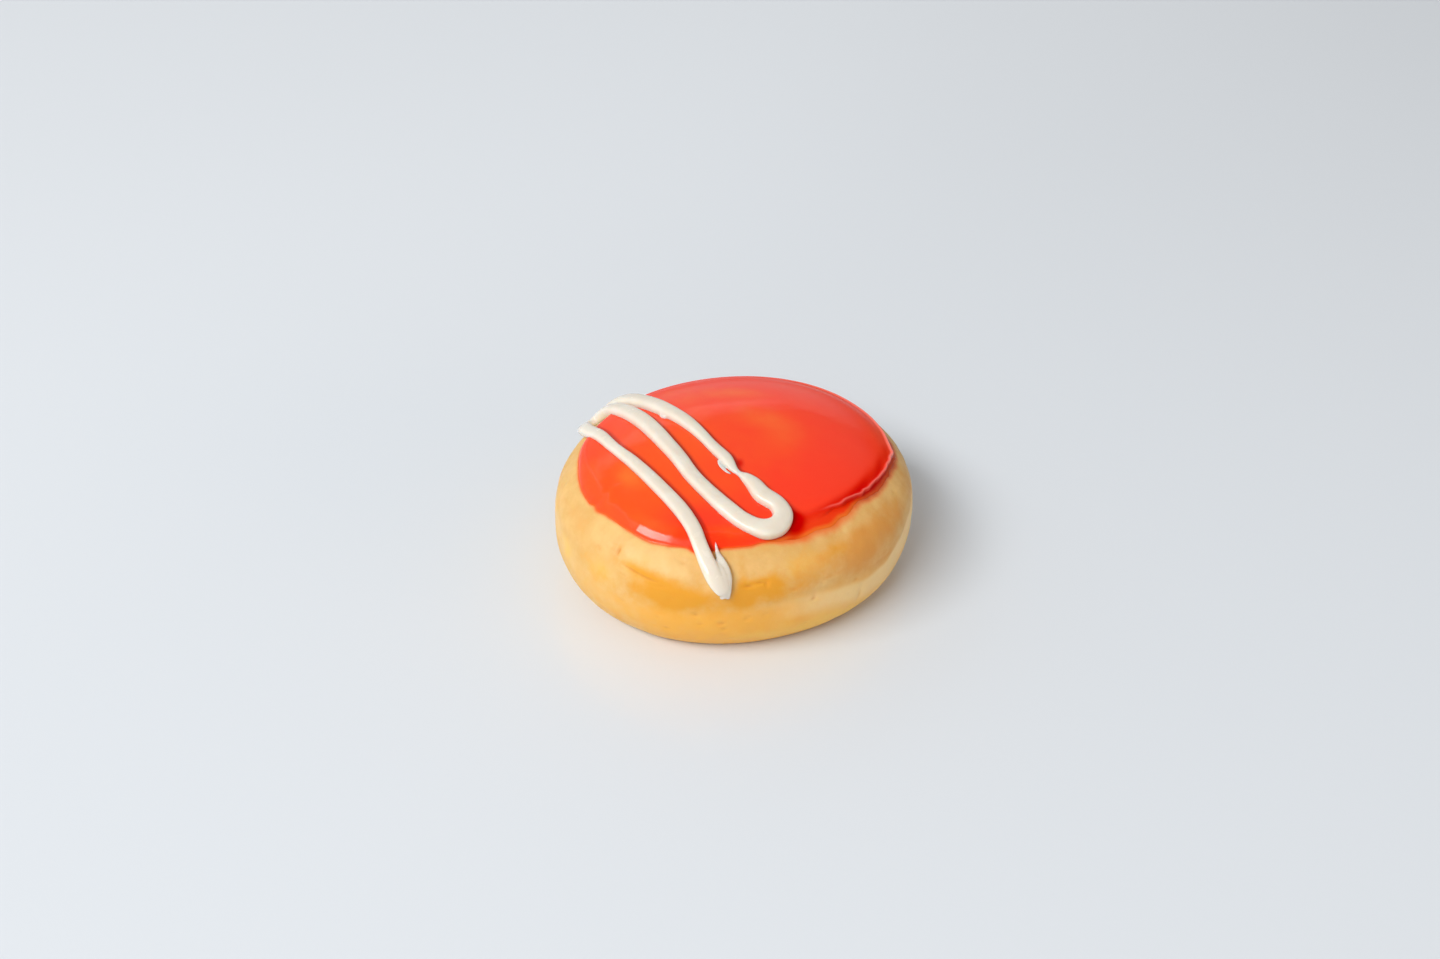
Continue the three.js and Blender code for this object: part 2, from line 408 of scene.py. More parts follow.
@dataclass(frozen=True)
class FriedCrust(Finish):
    """Fried dough: tan under the glaze, patches of amber and brown, cream and gold below the middle."""

    name: str = "fried_crust"
    tan: Colour = paint(233, 189, 118)
    olive: Colour = paint(218, 171, 98)
    olive_limits: Span = (-0.3, 0.35)
    tints: tuple[Tint, ...] = (
        Tint("gilding", paint(244, 178, 70), 0.7),
        Tint("paleness", paint(250, 213, 148), 0.5, (0.05, 0.95)),
        # Honey-gold patches, and painted bounce light low at the front.
        Tint("honeying_and_bounce_light", paint(248, 198, 96), 0.8, (0.1, 1.0)),
        # Toasted patches, and painted shade in the pits and creases.
        Tint("toasting_and_pit_shade", paint(224, 156, 72), 0.9, (0.1, 1.1)),
        Tint("ambering", paint(229, 158, 36), 0.8, (0.15, 1.05)),
        Tint("staining", paint(240, 104, 32), 0.4),
        # A dark red-brown glaze stain at the right, partly real stain and partly painted shade.
        Tint("dark_stain_and_shade", paint(186, 82, 50), 0.7, (0.1, 1.1)),
        # Painted shade in the pits and creases.
        Tint("pit_and_crease_shade", paint(208, 132, 44), 0.2, (0.2, 1.0)),
    )
    clouds: Clouding = Clouding(blot=9 * MM, detail=3.0, seed=1.7)
    mottle: Clouding = Clouding(blot=3.6 * MM, detail=4.0, seed=5.3, roughness=0.6)
    mottle_share: float = 0.9
    pores: Clouding = Clouding(blot=0.45 * MM, detail=3.0, seed=8.1, roughness=0.65)
    pore_depth: float = 0.05 * MM
    pore_strength: float = 0.45
    mottle_relief: float = 0.6
    mottle_limits: Span = (0.2, 0.8)
    roughness: Span = (0.44, 0.62)
    shine: float = 0.4
    glow: float = 0.35
    glow_depth: float = 1.6 * MM
    glow_reach: Triple = (1.0, 0.5, 0.2)

    def shader(self, writer: NodeWriter, place: Signal) -> Signal:
        """Adds the crust's nodes."""
        clouds = writer.noise(place, self.clouds)
        mottle = writer.noise(place, self.mottle)
        pores = writer.noise(place, self.pores)
        uneven = (clouds - 0.5) + (mottle - 0.5) * self.mottle_share
        colour = writer.blend(writer.fade(uneven, *self.olive_limits), self.tan, self.olive)
        for tint in self.tints:
            colour = self.tinted(writer, colour, tint, uneven)
        relief = pores + mottle * self.mottle_relief
        return writer.add("ShaderNodeBsdfPrincipled", inputs={
            "Base Color": colour,
            "Roughness": writer.fade(mottle, *self.mottle_limits, *self.roughness),
            "Subsurface Weight": self.glow,
            "Subsurface Radius": self.glow_reach,
            "Subsurface Scale": self.glow_depth,
            "Specular IOR Level": self.shine,
            "Normal": writer.bump(relief, self.pore_strength, self.pore_depth),
        })


@dataclass(frozen=True)
class SugarGlaze(Finish):
    """Sugar glaze: orange and glossy, redder and duller where it gathers, see-through at its end; with
    painted shade, sheen and highlights.
    """

    name: str = "sugar_glaze"
    orange: Colour = paint(255, 83, 16)
    red: Tint = Tint("redness", paint(255, 57, 24), 1.0)
    # Lighter orange, partly painted sheen: a warm reflection at the back and a highlight on the
    # front-left rim.
    light_orange_and_sheen: Tint = Tint("lightness_and_sheen", paint(255, 122, 40), 0.3, (0.1, 1.0))
    crimson: Colour = paint(210, 0, 0)
    # Painted contact shade beside the icing.
    contact_shade: Colour = paint(160, 18, 8)
    # Painted highlight along the bead's crest.
    rim_highlight: Colour = paint(250, 136, 122)
    film: Colour = paint(240, 56, 4)
    film_end: Tint = Tint("ending", paint(240, 108, 30), 0.5)
    # A darker film at the right: partly a real darker film, partly painted shade.
    dark_film_and_shade: Colour = paint(196, 18, 4)
    dark_film_and_shade_end: Tint = Tint("ending", paint(206, 76, 28), 0.5)
    dark_film_and_shade_patchiness: float = 0.8
    gathered_and_shaded_patchiness: float = 0.3
    gathered_limits: Span = (0.1, 1.0)
    gathered_and_shaded_dullness: float = 0.9
    clouds: Clouding = Clouding(blot=14 * MM, detail=2.0, seed=3.1)
    cloud_share: float = 0.8
    streaks: Clouding = Clouding(blot=4 * MM, detail=3.0, seed=9.4)
    streak_share: float = 0.25
    wave_depth: float = 0.06 * MM
    wave_strength: float = 0.25
    body_roughness: float = 0.5
    gloss_roughness: float = 0.09
    gloss_bending: float = 1.43
    gloss: Span = (1.0, 0.05)
    glow: float = 0.2
    glow_depth: float = 0.8 * MM
    glow_reach: Triple = (1.0, 0.25, 0.1)

    def shader(self, writer: NodeWriter, place: Signal) -> Signal:
        """Adds the glaze's nodes."""
        clouds = writer.noise(place, self.clouds)
        streaks = writer.noise(place, self.streaks)
        streaky = streaks - 0.5
        uneven = (clouds - 0.5) * self.cloud_share + streaky * self.streak_share
        colour = self.tinted(writer, self.orange, self.red, uneven)
        # Lighter orange, partly painted sheen and highlight.
        colour = self.tinted(writer, colour, self.light_orange_and_sheen, streaky)
        darkness = self.attribute(writer, "darkness") + streaky * self.dark_film_and_shade_patchiness
        film = writer.blend(
            writer.fade(darkness, *self.gathered_limits),
            self.tinted(writer, self.film, self.film_end, streaky),
            self.tinted(writer, self.dark_film_and_shade, self.dark_film_and_shade_end, streaky))
        gathering_and_shade = self.attribute(writer, "gathering_and_shade") + uneven * self.gathered_and_shaded_patchiness
        gathered_and_shaded = writer.fade(gathering_and_shade, *self.gathered_limits)
        colour = writer.blend(self.attribute(writer, "thinness"), colour, film)
        # Crimson where the glaze gathers, and painted shade beside the icing's U-turn and its pinch.
        colour = writer.blend(gathered_and_shaded, colour, self.crimson)
        # Painted highlight along the bead's crest.
        colour = writer.blend(self.attribute(writer, "crest"), colour, self.rim_highlight)
        # Painted contact shade along the icing's edges.
        colour = writer.blend(self.attribute(writer, "contact_shade_amount"), colour, self.contact_shade)
        dullness = self.attribute(writer, "dullness") + gathered_and_shaded * self.gathered_and_shaded_dullness
        waves = writer.bump(streaks, self.wave_strength, self.wave_depth)
        return writer.add("ShaderNodeBsdfPrincipled", inputs={
            "Base Color": colour,
            "Roughness": self.body_roughness,
            "Specular IOR Level": 0.0,
            "Subsurface Weight": self.glow,
            "Subsurface Radius": self.glow_reach,
            "Subsurface Scale": self.glow_depth,
            "Coat Weight": writer.fade(dullness, 0.0, 1.0, *self.gloss),
            "Coat Roughness": self.gloss_roughness,
            "Coat IOR": self.gloss_bending,
            "Normal": waves,
            "Coat Normal": waves,
        })


@dataclass(frozen=True)
class CreamIcing(Finish):
    """Thick cream-white icing with a soft shine."""

    name: str = "cream_icing"
    cream: Colour = paint(231, 224, 210)
    ivory: Colour = paint(226, 216, 200)
    clouds: Clouding = Clouding(blot=5 * MM, detail=3.0, seed=2.2)
    cloud_limits: Span = (0.3, 0.7)
    ripples: Clouding = Clouding(blot=2.5 * MM, detail=2.0, seed=6.6)
    ripple_limits: Span = (0.2, 0.8)
    ripple_depth: float = 0.05 * MM
    ripple_strength: float = 0.2
    roughness: Span = (0.16, 0.29)
    gloss: float = 0.3
    gloss_roughness: float = 0.12
    glow: float = 0.85
    glow_depth: float = 2.6 * MM
    glow_reach: Triple = (1.0, 0.8, 0.6)

    def shader(self, writer: NodeWriter, place: Signal) -> Signal:
        """Adds the icing's nodes."""
        clouds = writer.noise(place, self.clouds)
        ripples = writer.noise(place, self.ripples)
        return writer.add("ShaderNodeBsdfPrincipled", inputs={
            "Base Color": writer.blend(writer.fade(clouds, *self.cloud_limits), self.cream, self.ivory),
            "Roughness": writer.fade(ripples, *self.ripple_limits, *self.roughness),
            "Subsurface Weight": self.glow,
            "Subsurface Radius": self.glow_reach,
            "Subsurface Scale": self.glow_depth,
            "Coat Weight": self.gloss,
            "Coat Roughness": self.gloss_roughness,
            "Normal": writer.bump(ripples, self.ripple_strength, self.ripple_depth),
        })


@dataclass(frozen=True)
class PaleFloor(Finish):
    """The studio's smooth floor."""

    name: str = "pale_floor"
    colour: Colour = (0.742, 0.784, 0.828, 1.0)
    roughness: float = 0.22
    shine: float = 0.5

    def shader(self, writer: NodeWriter, place: Signal) -> Signal:
        """Adds the floor's one shader."""
        return writer.add("ShaderNodeBsdfPrincipled", inputs={
            "Base Color": self.colour, "Roughness": self.roughness,
            "Specular IOR Level": self.shine})


# ---------------------------------------------------------------- meshes and geometry trees


def shown(name: str, mesh: bpy.types.Mesh) -> bpy.types.Object:
    """A mesh as an object of the scene, at the origin."""
    piece = bpy.data.objects.new(name, mesh)
    bpy.context.scene.collection.objects.link(piece)
    return piece


def ring_skin(name: str, start: np.ndarray, rings: np.ndarray, end: np.ndarray) -> bpy.types.Object:
    """A closed skin over rings of points, from one end point to the other.

    Args:
        name: The piece's name.
        start: The first end point, inside the first ring.
        rings: Points by ring and sector; they run anticlockwise round the start, seen from outside.
        end: The other end point, inside the last ring.
    Returns:
        The piece.
    """
    count, sectors = rings.shape[:2]
    points = np.concatenate([start[None], rings.reshape(-1, 3), end[None]])
    corner = 1 + np.arange(count * sectors).reshape(count, sectors)
    beside = np.roll(corner, -1, axis=1)
    quads = np.stack([corner[:-1], corner[1:], beside[1:], beside[:-1]], axis=-1).reshape(-1, 4)
    first = np.stack([np.zeros(sectors, int), corner[0], beside[0]], axis=-1)
    last = np.stack([np.full(sectors, len(points) - 1), beside[-1], corner[-1]], axis=-1)
    mesh = bpy.data.meshes.new(name)
    mesh.from_pydata(points.tolist(), [], quads.tolist() + first.tolist() + last.tolist())
    mesh.shade_smooth()
    return shown(name, mesh)


def set_attribute(piece: bpy.types.Object, name: str, values: np.ndarray) -> None:
    """Gives each point of a piece its own number under a name."""
    attribute = piece.data.attributes.new(name, "FLOAT", "POINT")
    attribute.data.foreach_set("value", np.asarray(values, np.float32).ravel())


def carry(piece: bpy.types.Object, name: str, rings: np.ndarray, start: float = 0.0,
          end: float = 0.0) -> None:
    """Gives each point of a ring skin its own number under a name.

    Args:
        piece: The skin.
        name: What the number is called.
        rings: The numbers by ring and sector.
        start: The first end point's number.
        end: The other end point's number.
    """
    set_attribute(piece, name, np.concatenate([[start], rings.ravel(), [end]]))


class GeometryTree:
    """A geometry tree with named inputs, which a piece is grown by once."""

    def __init__(self, name: str, inputs: dict[str, str]) -> None:
        """Makes the tree's interface.

        Args:
            name: The tree's name.
            inputs: The socket type of each input, by its name.
        """
        self.group = bpy.data.node_groups.new(name, "GeometryNodeTree")
        interface = self.group.interface
        interface.new_socket("Geometry", in_out="INPUT", socket_type="NodeSocketGeometry")
        interface.new_socket("Geometry", in_out="OUTPUT", socket_type="NodeSocketGeometry")
        sockets = {key: interface.new_socket(key, in_out="INPUT", socket_type=kind)
                   for key, kind in {**inputs, "Material": "NodeSocketMaterial"}.items()}
        self.identifiers = {key: socket.identifier for key, socket in sockets.items()}
        self.writer = NodeWriter(self.group)
        self.entry = self.group.nodes.new("NodeGroupInput")

    def given(self, name: str) -> Signal:
        """The signal of one of the tree's own inputs."""
        return Signal(self.writer, self.entry.outputs[name])

    def carried(self, name: str, kind: str = "FLOAT") -> Signal:
        """What the piece carries at its points under a name."""
        return self.writer.add("GeometryNodeInputNamedAttribute", {"data_type": kind}, {"Name": name})

    def moved(self, geometry: Signal, height: Signal) -> Signal:
        """The geometry with each point moved out along its normal by a height."""
        offset = self.writer.add("ShaderNodeVectorMath", {"operation": "SCALE"}, {
            "Vector": self.writer.add("GeometryNodeInputNormal"), "Scale": height})
        return self.writer.add("GeometryNodeSetPosition", inputs={
            "Geometry": geometry, "Offset": offset})

    def close(self, geometry: Signal) -> None:
        """Ends the tree: smooth faces, real geometry and the material."""
        smooth = self.writer.add("GeometryNodeSetShadeSmooth", inputs={"Geometry": geometry})
        real = self.writer.add("GeometryNodeRealizeInstances", inputs={"Geometry": smooth})
        dressed = self.writer.add("GeometryNodeSetMaterial", inputs={
            "Geometry": real, "Material": self.given("Material")})
        self.writer.add("NodeGroupOutput", inputs={"Geometry": dressed})

    def grow(self, piece: bpy.types.Object, values: dict) -> None:
        """Runs the tree on a piece and leaves the result as its plain mesh.

        Args:
            piece: The object, whose mesh the tree takes.
            values: What each named input is set to.
        """
        modifier = piece.modifiers.new(self.group.name, "NODES")
        modifier.node_group = self.group
        for name, value in values.items():
            modifier[self.identifiers[name]] = value
        depsgraph = bpy.context.evaluated_depsgraph_get()
        evaluated = piece.evaluated_get(depsgraph)
        mesh = bpy.data.meshes.new_from_object(
            evaluated, preserve_all_data_layers=True, depsgraph=depsgraph)
        piece.modifiers.remove(modifier)
        piece.data = mesh
        mesh.name = piece.name


def relief_tree() -> GeometryTree:
    """The tree that moves a skin in and out: its own carving, and lumps where it may give way."""
    tree = GeometryTree("soft_relief", {
        "Lump Size": "NodeSocketFloat", "Lump Height": "NodeSocketFloat",
        "Grain Size": "NodeSocketFloat", "Grain Height": "NodeSocketFloat",
        "Seed": "NodeSocketFloat",
    })
    place = tree.writer.add("GeometryNodeInputPosition")

    def bumps(kind: str) -> Signal:
        """Noise round 0, as high as the named input says."""
        pattern = Clouding(blot=tree.given(f"{kind} Size"), detail=2.0, seed=tree.given("Seed"))
        return (tree.writer.noise(place, pattern) - 0.5) * 2 * tree.given(f"{kind} Height")

    shift = (bumps("Lump") + bumps("Grain")) * tree.carried("give") + tree.carried("carving")
    tree.close(tree.moved(tree.given("Geometry"), shift))
    return tree


@dataclass(frozen=True)
class Relief:
    """The lumps and the finer grain of a skin, each with a size across and a height, and a seed."""

    lump_size: float
    lump_height: float
    grain_size: float
    grain_height: float
    seed: float

    def grow(self, tree: GeometryTree, piece: bpy.types.Object, finish: Finish) -> None:
        """Raises the relief on a piece with the relief tree and gives it its finish."""
        tree.grow(piece, {
            "Lump Size": self.lump_size, "Lump Height": self.lump_height,
            "Grain Size": self.grain_size, "Grain Height": self.grain_height,
            "Seed": self.seed, "Material": finish.material()})


def strand_tree() -> GeometryTree:
    """The tree that pipes icing along lines of points and melts crossing strands into one skin."""
    tree = GeometryTree("piped_strands", {
        "Sides": "NodeSocketInt", "Squareness": "NodeSocketFloat", "Height": "NodeSocketFloat",
        "Grain": "NodeSocketFloat", "Skin Grains": "NodeSocketFloat",
        "Surface Level": "NodeSocketFloat", "Melting": "NodeSocketInt",
        "Ripple Size": "NodeSocketFloat", "Ripple Height": "NodeSocketFloat",
        "Seed": "NodeSocketFloat",
    })
    writer = tree.writer
    place = writer.add("GeometryNodeInputPosition")

    def squared(axis: str) -> Signal:
        """One coordinate of a round section, from -1 to 1, pushed outwards to square it off."""
        side = writer.add("ShaderNodeSeparateXYZ", inputs={0: place}, output=axis)
        size = writer.math("POWER", writer.math("ABSOLUTE", side, 0.0), tree.given("Squareness"))
        return writer.math("SIGN", side, 0.0) * size * 0.5

    circle = writer.add("GeometryNodeCurvePrimitiveCircle", inputs={
        "Resolution": tree.given("Sides"), "Radius": 1.0})
    corner = writer.add("ShaderNodeCombineXYZ", inputs={
        0: squared("X"), 1: squared("Y") * tree.given("Height")})
    section = writer.add("GeometryNodeSetPosition", inputs={"Geometry": circle, "Position": corner})
    line = writer.add("GeometryNodeMeshToCurve", inputs={"Mesh": tree.given("Geometry")})
    laid = writer.add("GeometryNodeSetCurveNormal", {"mode": "FREE"}, {
        "Curve": line, "Normal": tree.carried("sideways", "FLOAT_VECTOR")})
    ropes = writer.add("GeometryNodeCurveToMesh", inputs={
        "Curve": laid, "Profile Curve": section, "Scale": tree.carried("width"), "Fill Caps": True})
    grain = tree.given("Grain")
    body = writer.add("GeometryNodeMeshToVolume", {"resolution_mode": "VOXEL_SIZE"}, {
        "Mesh": ropes, "Voxel Size": grain,
        "Interior Band Width": grain * tree.given("Skin Grains")})
    skin = writer.add("GeometryNodeVolumeToMesh", {"resolution_mode": "VOXEL_SIZE"}, {
        "Volume": body, "Voxel Size": grain, "Threshold": tree.given("Surface Level")})
    settled = writer.add("GeometryNodeBlurAttribute", {"data_type": "FLOAT_VECTOR"}, {
        "Value": place, "Iterations": tree.given("Melting")})
    melted = writer.add("GeometryNodeSetPosition", inputs={"Geometry": skin, "Position": settled})
    ripples = Clouding(blot=tree.given("Ripple Size"), detail=1.0, seed=tree.given("Seed"))
    shift = (writer.noise(place, ripples) - 0.5) * tree.given("Ripple Height")
    tree.close(tree.moved(melted, shift))
    return tree


# ---------------------------------------------------------------- the pieces


class Piece(Enum):
    """The doughnut's pieces: each one's name, the solid it stands for and its material slot."""

    DOUGH = ("fried_dough", "dough", "dough")
    GLAZE = ("sugar_glaze_cap", "glaze", "glaze")
    ICING = ("piped_icing", "glaze", "icing")

    @property
    def title(self) -> str:
        """The piece's name."""
        return self.value[0]

    def join(self, made: bpy.types.Object) -> None:
        """Puts the finished object into the doughnut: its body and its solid."""
        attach(made, "root")
        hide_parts(self.value[1])
        LOG.info("%s: %d faces", made.name, len(made.data.polygons))


@dataclass
class Glaze:
    """The thin glaze cap: its smooth top, the bead round its rim and the film outside the bead.

    Where the bead is sharp the glaze dips behind it, and elsewhere it just rounds off.
    """

    bun: BunForm
    relief: GeometryTree
    finish: Finish = SugarGlaze()
    edge: Around = Around((
        (0, 36.8), (6, 37.8), (11, 38.9), (19, 39.3), (30, 39.1), (45, 38.6), (80, 37.7), (115, 38.2),
        (150, 37.8), (176, 38.6), (190, 38.0), (200, 38.0), (209, 37.8), (212, 37.2), (214, 37.5),
        (219, 36.7), (225, 36.4), (231, 36.6), (239, 37.0), (246, 36.6), (252, 36.1), (257, 37.1),
        (268, 35.4), (276, 35.2), (282, 34.5), (290, 35.0), (299, 35.4), (306, 34.8), (314, 35.0),
        (322, 34.4), (333, 33.5), (338, 34.6), (343, 35.3), (352, 35.9),
    ))
    raggedness: Around = Around((
        (0, 0.22), (25, 0.12), (90, 0.1), (180, 0.06), (225, 0.1), (262, 0.1), (290, 0.12),
        (310, 0.2), (340, 0.25),
    ))
    long_waver: tuple[float, int] = (4.6, 11)
    short_waver: tuple[float, int] = (1.7, 12)
    short_share: float = 0.5
    calm_inset: float = 0.6 * MM
    bead_inset: Around = Around((
        (2, 1.1), (9, 1.1), (18, 1.9), (26, 1.5), (42, 1.2), (90, 1.0), (170, 0.2), (200, 0.0),
        (270, 0.0), (281, 0.1), (291, 1.8), (300, 2.6), (308, 2.6), (318, 3.2), (326, 2.3), (334, 1.1),
        (340, 1.7), (347, 1.7), (354, 1.2),
    ))
    bead_lift: Around = Around((
        (0, 1.2), (45, 1.2), (100, 1.2), (180, 1.3), (215, 1.42), (260, 1.42), (275, 1.15),
        (288, 0.9), (305, 0.8), (318, 0.86), (330, 1.15),
    ))
    bead_run: Around = Around((
        (0, 0.4), (45, 0.45), (100, 1.2), (180, 2.2), (215, 5.0), (258, 4.8), (272, 2.9),
        (290, 2.2), (308, 2.2), (322, 0.6), (340, 0.4),
    ))
    bead_bluntness: Around = Around((
        (0, 0.5), (100, 0.5), (180, 0.75), (215, 1.3), (260, 1.4), (285, 1.1), (308, 1.3),
        (325, 0.5),
    ), unit=1.0)
    dip_lift: Around = Around((
        (0, 0.8), (45, 0.85), (100, 1.1), (180, 1.2), (215, 1.4), (260, 1.4), (275, 1.12),
        (288, 0.88), (305, 0.8), (318, 0.78), (340, 0.78),
    ))
    thickness: float = 1.05 * MM
    film_thickness: float = 0.1 * MM
    film_rise: float = 0.9 * MM
    bead_fall: float = 0.6 * MM
    dip_rise: float = 4.2 * MM
    underlap: float = 0.25 * MM
    tuck: float = 0.1 * MM
    sectors: int = 640
    rim_step: float = 0.15 * MM
    rim_depth: float = 7.5 * MM
    top_step: float = 0.42 * MM
    under_rings: int = 10
    waves: Relief = Relief(lump_size=13 * MM, lump_height=0.1 * MM, grain_size=5 * MM,
                           grain_height=0.02 * MM, seed=4.0)
    wave_inset: Span = (3 * MM, 9 * MM)
    # Painted contact shade beside the icing: its width, its darkness, the narrowest strand that casts it
    # and its shift away from the key light.
    contact_shade_width: float = 0.45 * MM
    contact_shade_darkness: float = 0.6
    least_shading_width: float = 1.2 * MM
    contact_shade_shift: Span = (0.35 * MM, 0.4 * MM)
    # Deeper red where the glaze gathers; the patches at the icing's U-turn and beside its pinch are
    # painted shade.
    gathered_and_shaded_patches: tuple[Patch, ...] = (
        Patch(-62.5, 30.8, 2.9, 3.5, 1.5), Patch(-52, 31.0, 4.5, 1.8, 0.25),
        Patch(-40, 30.4, 8.0, 1.7, 0.5), Patch(-22, 31.8, 8.0, 1.6, 0.78),
        Patch(-5, 33.6, 7.0, 1.4, 0.68), Patch(8, 35.4, 5.0, 1.3, 0.5),
        Patch(-95, 33.0, 5.0, 1.6, 0.3), Patch(-87, 8.9, 1.3, 2.4, 0.75),
        Patch(-67, 35.2, 2.4, 0.9, 0.5),
    )
    red_areas: tuple[Patch, ...] = (
        Patch(-45, 24.0, 20.0, 9.0, 0.25), Patch(-10, 30.0, 20.0, 8.0, 0.15),
        Patch(60, 30.0, 30.0, 9.0, 0.2), Patch(120, 30.0, 26.0, 8.0, 0.2),
        Patch(-100, 31.0, 8.0, 6.0, 0.4),
    )
    orange_areas: tuple[Patch, ...] = (
        Patch(18, 12.0, 10.0, 8.0, 0.12), Patch(-151, 25.0, 17.0, 12.0, 0.6),
        Patch(-172, 14.0, 6.0, 6.0, 0.4),
    )
    # Lighter orange areas; those at the back and along the front rim are painted sheen and highlight.
    light_and_sheen_areas: tuple[Patch, ...] = (
        Patch(-151, 27.0, 6.0, 3.5, 0.6), Patch(75, 13.0, 9.0, 6.0, 0.35),
        Patch(-165, 34.0, 5.0, 2.0, 0.3), Patch(22, 12.0, 10.0, 6.0, 0.32),
        Patch(115, 24.5, 14.0, 4.5, 0.36), Patch(-92, 31.5, 8.0, 3.0, 0.36),
        Patch(-122, 33.5, 8.0, 3.0, 0.36), Patch(128, 31.0, 8.0, 3.5, 0.3),
        Patch(90, 22.5, 8.0, 3.0, 0.25),
    )
    base_redness: float = 0.64
    film_climb: Span = (-0.5, 0.8)
    film_inset: float = 0.5 * MM
    lip_thinness: float = 0.6
    lip_width: float = 0.5 * MM
    ending_width: float = 1.8 * MM
    # Where the film is darker: partly a real darker film, partly painted shade on the right.
    dark_film_and_shade: Around = Around((
        (0, 1.0), (14, 0.9), (30, 0.5), (60, 0.1), (180, 0.0), (290, 0.0), (320, 0.0), (330, 0.5),
        (338, 1.0),
    ), unit=1.0)
    dull_rim: Around = Around((
        (0, 0.5), (30, 0.45), (60, 0.5), (90, 0.55), (120, 0.5), (150, 0.35), (200, 0.35),
        (222, 0.0), (236, 0.0), (243, 0.3), (249, 0.85), (265, 0.85), (285, 0.3), (318, 0.5),
        (335, 0.6),
    ), unit=1.0)
    dull_reach: Span = (27 * MM, 33 * MM)
    # Painted highlight along the bead's crest, strongest at the right.
    rim_highlight_strength: Around = Around((
        (0, 0.65), (12, 0.9), (40, 0.9), (70, 0.4), (100, 0.0), (290, 0.0), (312, 0.0), (321, 0.35),
        (328, 0.45), (340, 0.55),
    ), unit=1.0)
    rim_highlight_spread: Around = Around(((0, 0.28), (14, 0.5), (60, 0.5), (90, 0.28), (320, 0.28)))

    def profile(self, angle: np.ndarray, outside: np.ndarray, inside: np.ndarray) -> np.ndarray:
        """The lift of the upper face.

        Args:
            angle: Each point's direction in radians.
            outside: How far it lies inside the glaze's ragged outer edge, along the surface.
            inside: How far it lies inside the outer foot of the bead, and less than 0 on the film.
        Returns:
            The lift at each point.
        """
        film = self.film_thickness * ease(outside, 0, self.film_rise)
        crest, run, dip = self.bead_lift.at(angle), self.bead_run.at(angle), self.dip_lift.at(angle)
        climb = np.clip(inside / run, 0, 1)
        bead = (crest - film) * (1 - (1 - climb) ** 2) ** self.bead_bluntness.at(angle)
        fall = (crest - dip) * ease(inside - run, 0, self.bead_fall)
        rise = (self.thickness - dip) * ease(inside - run, 0.5 * self.bead_fall, self.dip_rise)
        return film + bead - fall + rise

    def contact_shade_amount(self, angle: np.ndarray, reach: np.ndarray, piped: np.ndarray) -> np.ndarray:
        """How much painted contact shade places on the map get from lying near the icing's edges.

        Args:
            angle: The places' directions in radians.
            reach: Their reaches.
            piped: Points of the icing's lines: their map places and the line's width there.
        Returns:
            1 at the icing's edge and under it, falling to 0 beside it; less at its sunny side.
        """
        places = np.stack([reach * np.cos(angle), reach * np.sin(angle)], axis=-1)
        gap = np.full(reach.shape, 1.0)
        for point in piped[piped[:, 2] > self.least_shading_width]:
            middle = point[:2] + self.contact_shade_shift
            gap = np.minimum(gap, np.linalg.norm(places - middle, axis=-1) - point[2] / 2)
        return np.exp(-((np.maximum(gap, 0) / self.contact_shade_width) ** 2))

    def build(self, piped: np.ndarray) -> bpy.types.Object:
        """Builds the cap and dresses it, with painted contact shade beside the icing where it lies on
        it.

        Args:
            piped: Points of the icing's lines: their map places and the line's width there.
        Returns:
            The finished cap.
        """
        around = np.linspace(0, 2 * math.pi, self.sectors, endpoint=False)
        smooth_edge = self.edge.at(around)
        waver = wander(around, *self.long_waver) + self.short_share * wander(around, *self.short_waver)
        edge = smooth_edge + self.raggedness.at(around) * waver
        inset = self.bead_inset.at(around)
        bead = edge + (smooth_edge - edge) * ease(inset, 0, self.calm_inset) - inset
        rim = np.arange(0.0, self.rim_depth, self.rim_step)
        top_count = int(round((edge.mean() - self.rim_depth) / self.top_step))
        inner = (edge - self.rim_depth) * np.linspace(1, 0, top_count, endpoint=False)[:, None]
        reach = np.concatenate([edge - rim[:, None], inner])[::-1]
        lift = self.profile(np.broadcast_to(around, reach.shape), edge - reach, bead - reach)
        under = (edge - self.tuck) * np.linspace(1, 0, self.under_rings, endpoint=False)[:, None]
        reach = np.concatenate([reach, under])
        lift = np.concatenate([lift, np.full_like(under, -self.underlap)])
        angle = np.broadcast_to(around, reach.shape)
        rings = self.bun.lifted(reach * np.cos(angle), reach * np.sin(angle), lift)
        zero = np.zeros(1)
        start = self.bun.lifted(zero, zero, np.array([self.thickness]))[0]
        end = self.bun.lifted(zero, zero, np.array([-self.underlap]))[0]
        cap = ring_skin(Piece.GLAZE.title, start, rings, end)
        self.dress(cap, angle, reach, edge - reach, bead - reach)
        # Painted contact shade beside the icing.
        contact_shade_amount = self.contact_shade_amount(angle, reach, piped)
        carry(cap, "contact_shade_amount", self.contact_shade_darkness * contact_shade_amount)
        self.waves.grow(self.relief, cap, self.finish)
        return cap

